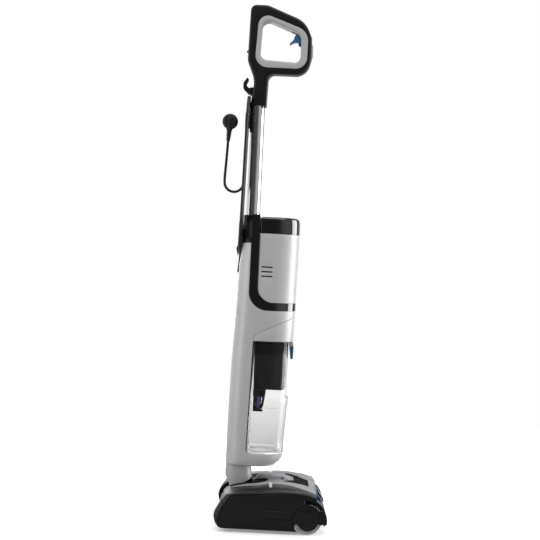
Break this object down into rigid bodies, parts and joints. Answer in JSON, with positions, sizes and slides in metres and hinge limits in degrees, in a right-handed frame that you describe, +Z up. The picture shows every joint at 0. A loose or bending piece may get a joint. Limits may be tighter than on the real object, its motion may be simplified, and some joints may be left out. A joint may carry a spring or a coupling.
{
  "type": "wet dry floor scrubber",
  "caption": "Upright corded floor washer with loop handle, chrome stick, slim body, clear dirty water tank, hinged neck and powered brush head.",
  "frame": {"origin": "on the floor, at the middle of the floor head's length and width", "axes": "+X forward, towards the brush; +Y to the machine's left; +Z up"},
  "size_m": [0.2733, 0.264, 1.1715],
  "materials": {
    "black_casing": "satin moulded plastic",
    "black_gloss": "piano black gloss",
    "silver_body": "fine silver grey paint, satin",
    "grey_cover": "fine moulded grain, matt",
    "grip_grey": "soft touch light grey",
    "panel_grey": "satin light grey",
    "trigger_blue": "blue moulded plastic",
    "latch_navy": "dark blue moulded plastic",
    "chrome_tube": "polished chrome",
    "clear_tank": "clear moulded plastic",
    "clear_window": "clear moulded plastic",
    "clean_tank_clear": "frosted light grey plastic",
    "dark_insert": "dark plastic, wet look",
    "float_purple": "dark purple plastic",
    "brush_fabric": "short grey pile",
    "cord_rubber": "matt black sheath",
    "soft_rubber": "matt black rubber",
    "inner_plastic": "plain dark plastic",
    "acetal": "natural white acetal",
    "filter_foam": "open foam",
    "motor_metal": "plated steel can",
    "steel": "zinc plated steel"
  },
  "bodies": {
    "floor_head": {"base_chassis": "black_casing", "bottom_plate": "black_casing", "skid_pads": "soft_rubber", "top_cover": "grey_cover", "cover_inlays": "black_gloss", "right_side_cover": "black_casing", "left_side_cover": "black_casing", "front_bumper": "black_casing", "brush_motor": "motor_metal", "drive_belt": "soft_rubber", "spray_bar": "inner_plastic", "suction_duct": "inner_plastic", "squeegee": "soft_rubber", "hinge_pins": "steel", "wheel_axles": "steel", "base_screws": "steel"},
    "right_wheel": {"right_wheel": "soft_rubber"},
    "left_wheel": {"left_wheel": "soft_rubber"},
    "front_window": {"front_window": "clear_window"},
    "window_latch": {"window_latch": "latch_navy"},
    "roller_end_cap": {"roller_end_cap": "black_casing"},
    "brush_roll": {"brush_core": "inner_plastic", "brush_sleeve": "brush_fabric"},
    "brush_drive_hub": {"brush_drive_hub": "acetal"},
    "motor_pulley": {"motor_pulley": "acetal"},
    "neck": {"neck_shell": "grey_cover", "neck_core": "inner_plastic"},
    "upright": {"main_body": "silver_body", "swivel_bearing": "acetal", "riser_duct": "inner_plastic", "pod_shell": "silver_body", "pod_cap": "black_gloss", "trim_band": "black_gloss", "tube_collar": "black_casing", "suction_motor": "motor_metal", "motor_filter": "filter_foam", "water_pump": "inner_plastic", "stick_tube": "chrome_tube", "right_handle_shell": "black_casing", "left_handle_shell": "black_casing", "grip_ring": "grip_grey", "control_panel": "panel_grey", "upper_hook": "black_casing", "cord_gland": "cord_rubber", "cord_lead": "cord_rubber", "cord_hank": "cord_rubber", "cord_tail": "cord_rubber", "plug": "cord_rubber"},
    "impeller": {"impeller": "acetal"},
    "trigger": {"trigger": "trigger_blue"},
    "power_button": {"power_button": "panel_grey"},
    "mode_button": {"mode_button": "trigger_blue"},
    "lower_hook": {"lower_hook": "black_casing"},
    "dirty_tank": {"tank_bin": "clear_tank", "tank_lid": "silver_body", "tank_insert": "dark_insert"},
    "float": {"float": "float_purple"},
    "tank_latch": {"tank_latch": "latch_navy"},
    "clean_tank": {"clean_tank": "clean_tank_clear"},
    "clean_tank_cap": {"clean_tank_cap": "soft_rubber"}
  },
  "joints": [
    {"name": "recline", "type": "hinge", "parent": "floor_head", "child": "neck", "pos_m": [-0.071, 0, 0.062], "axis": [0, -1, 0], "range_deg": [0, 65]},
    {"name": "swivel", "type": "hinge", "parent": "neck", "child": "upright", "pos_m": [-0.078, 0, 0.131], "axis": [0, 0, 1], "range_deg": [-30, 30]},
    {"name": "right_wheel_spin", "type": "hinge", "parent": "floor_head", "child": "right_wheel", "pos_m": [-0.092, -0.088, 0.02], "axis": [0, 1, 0], "continuous": true},
    {"name": "left_wheel_spin", "type": "hinge", "parent": "floor_head", "child": "left_wheel", "pos_m": [-0.092, 0.088, 0.02], "axis": [0, 1, 0], "continuous": true},
    {"name": "window_lift", "type": "slide", "parent": "floor_head", "child": "front_window", "axis": [0.8, 0, 0.6], "range_m": [0, 0.04]},
    {"name": "window_latch_slide", "type": "hinge", "parent": "front_window", "child": "window_latch", "pos_m": [0.081, 0, 0.0315], "axis": [0, -1, 0], "range_deg": [0, 5], "stiffness_Nm_per_rad": 0.5, "springref_deg": -2.86},
    {"name": "roller_pull", "type": "slide", "parent": "floor_head", "child": "roller_end_cap", "axis": [0, -1, 0], "range_m": [0, 0.24]},
    {"name": "brush_spin", "type": "hinge", "parent": "roller_end_cap", "child": "brush_roll", "pos_m": [0.081, 0, 0.0315], "axis": [0, 1, 0], "continuous": true},
    {"name": "hub_spin", "type": "hinge", "parent": "floor_head", "child": "brush_drive_hub", "pos_m": [0.081, 0.1, 0.0315], "axis": [0, 1, 0], "continuous": true},
    {"name": "motor_pulley_spin", "type": "hinge", "parent": "floor_head", "child": "motor_pulley", "pos_m": [0.03, 0.1, 0.074], "axis": [0, 1, 0], "continuous": true},
    {"name": "impeller_spin", "type": "hinge", "parent": "upright", "child": "impeller", "pos_m": [-0.008, 0, 0.6], "axis": [0, 0, 1], "continuous": true},
    {"name": "trigger_pull", "type": "hinge", "parent": "upright", "child": "trigger", "pos_m": [0.027, 0, 1.098], "axis": [0, 1, 0], "range_deg": [0, 11], "stiffness_Nm_per_rad": 0.4, "springref_deg": -8.59},
    {"name": "power_press", "type": "slide", "parent": "upright", "child": "power_button", "axis": [-1, 0, 0], "range_m": [0, 0.002], "stiffness_N_per_m": 400, "springref_m": -0.002},
    {"name": "mode_press", "type": "slide", "parent": "upright", "child": "mode_button", "axis": [-1, 0, 0], "range_m": [0, 0.0015], "stiffness_N_per_m": 400, "springref_m": -0.002},
    {"name": "hook_turn", "type": "hinge", "parent": "upright", "child": "lower_hook", "pos_m": [-0.096, 0, 0.66015], "axis": [1, 0, 0], "range_deg": [0, 180]},
    {"name": "dirty_tank_slide", "type": "slide", "parent": "upright", "child": "dirty_tank", "axis": [1, 0, 0], "range_m": [0, 0.12]},
    {"name": "float_rise", "type": "slide", "parent": "dirty_tank", "child": "float", "axis": [0, 0, 1], "range_m": [0, 0.017]},
    {"name": "tank_latch_pull", "type": "hinge", "parent": "dirty_tank", "child": "tank_latch", "pos_m": [0.029, 0, 0.405], "axis": [0, -1, 0], "range_deg": [0, 18], "stiffness_Nm_per_rad": 0.5, "springref_deg": -5.73},
    {"name": "clean_tank_slide", "type": "slide", "parent": "upright", "child": "clean_tank", "axis": [-1, 0, 0], "range_m": [0, 0.06]},
    {"name": "filler_cap_swing", "type": "hinge", "parent": "clean_tank", "child": "clean_tank_cap", "pos_m": [-0.099, 0, 0.443], "axis": [0, 1, 0], "range_deg": [0, 110]}
  ],
  "couplings": [
    {"joint": "hub_spin", "follows": "brush_spin", "ratio": 1},
    {"joint": "motor_pulley_spin", "follows": "brush_spin", "ratio": 1.875}
  ]
}
